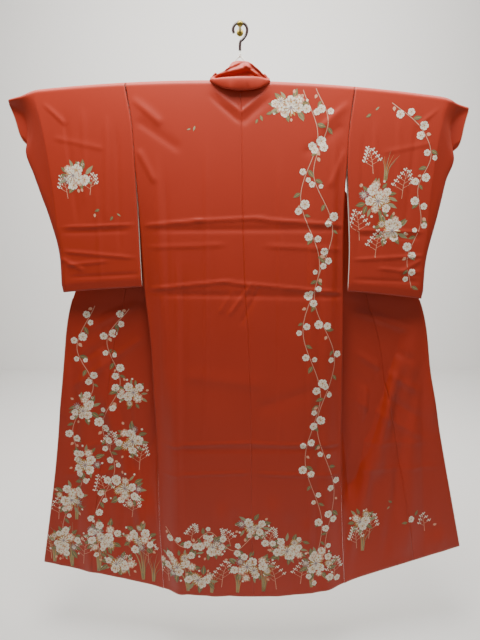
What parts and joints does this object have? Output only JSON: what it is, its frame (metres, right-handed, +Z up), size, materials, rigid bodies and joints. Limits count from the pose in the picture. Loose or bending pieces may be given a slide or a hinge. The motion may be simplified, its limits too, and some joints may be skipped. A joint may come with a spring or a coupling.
{
  "type": "hanging kimono on a hanger",
  "caption": "Formal silk kimono hung flat by its back view on a straight sleeve rod, with the fronts opened out sideways, a cord hook and a ball wall hook.",
  "frame": {"origin": "middle of the wall hook's plate, on the face that lies on the wall", "axes": "+Z up, +Y out of the back of the part, into the wall; the kimono's back faces -Y and its left sleeve is at -X"},
  "size_m": [1.3949, 0.0942, 1.7453],
  "materials": {
    "silk": "soft satin crepe",
    "collar_silk": "soft satin crepe",
    "rod_wood": "satin",
    "hook_lacquer": "gloss",
    "cord_cotton": "matt",
    "hook_brass": "aged satin"
  },
  "bodies": {
    "root": {"back_left": "silk", "back_right": "silk", "front_left": "silk", "front_right": "silk", "okumi_left": "silk", "okumi_right": "silk", "sleeve_left_back": "silk", "sleeve_left_front": "silk", "sleeve_right_back": "silk", "sleeve_right_front": "silk", "collar_neck": "collar_silk", "collar_left": "collar_silk", "collar_right": "collar_silk", "hanger_rod": "rod_wood", "hanger_hook": "hook_lacquer", "cord_knot": "cord_cotton", "cord_left": "cord_cotton", "cord_right": "cord_cotton", "wall_hook": "hook_brass"}
  },
  "joints": []
}
